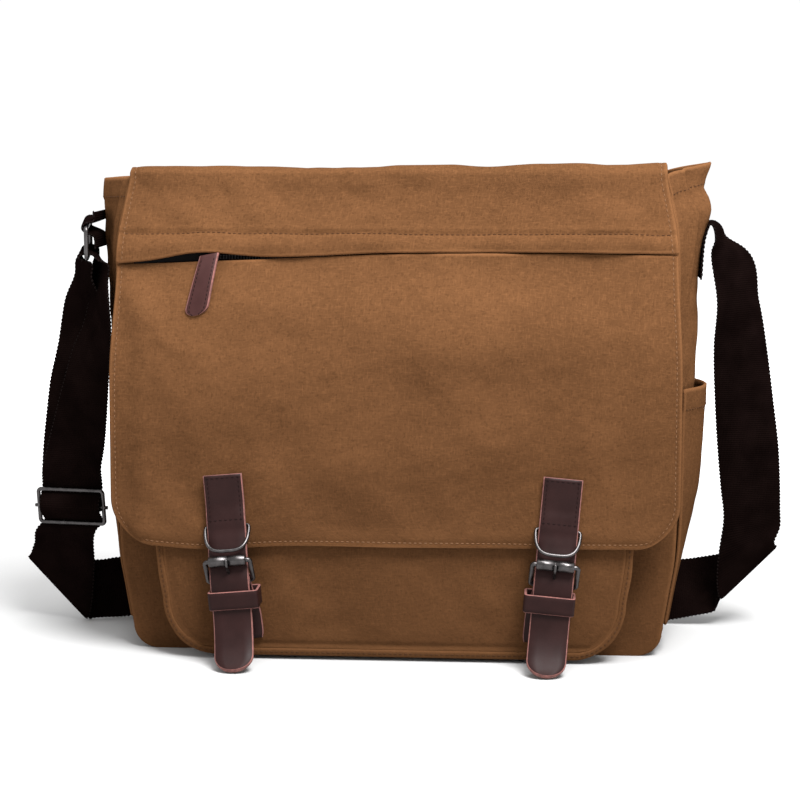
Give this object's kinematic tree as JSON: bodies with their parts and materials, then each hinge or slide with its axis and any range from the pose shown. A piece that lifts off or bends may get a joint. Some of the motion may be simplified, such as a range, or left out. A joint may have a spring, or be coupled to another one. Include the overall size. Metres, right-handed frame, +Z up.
{
  "type": "musette bag",
  "caption": "Canvas musette bag with a raised front pocket, a zip across its flap, leather buckle straps and a webbing shoulder strap",
  "frame": {"origin": "middle of the bag's flat bottom, on the ground", "axes": "+X to the viewer's right, -Y out of the front with the flap and buckles, +Z up"},
  "size_m": [0.4676, 0.1555, 0.2867],
  "materials": {
    "canvas": "waxed brown canvas, matte",
    "leather": "dark brown oiled leather with raw edges",
    "webbing": "nearly black ribbed cotton webbing",
    "dark_metal": "dark gunmetal, half polished",
    "zip_tape": "black woven tape with moulded teeth"
  },
  "bodies": {
    "root": {"back_panel": "canvas", "front_panel": "canvas", "gusset": "canvas", "pocket_face": "canvas", "pocket_gusset": "canvas", "pocket_rim": "canvas", "side_pocket_left": "canvas", "side_pocket_right": "canvas", "flap_upper": "canvas", "flap_lower": "canvas", "zip_tape": "zip_tape", "zip_slider": "dark_metal", "zip_puller": "leather", "shoulder_strap": "webbing", "strap_tab": "webbing", "strap_ring": "dark_metal", "strap_slider": "dark_metal", "left_closure_strap": "leather", "left_d_ring": "dark_metal", "left_buckle_frame": "dark_metal", "left_buckle_roller": "dark_metal", "left_buckle_prong": "dark_metal", "left_anchor_strap": "leather", "left_keeper": "leather", "right_closure_strap": "leather", "right_d_ring": "dark_metal", "right_buckle_frame": "dark_metal", "right_buckle_roller": "dark_metal", "right_buckle_prong": "dark_metal", "right_anchor_strap": "leather", "right_keeper": "leather"}
  },
  "joints": []
}
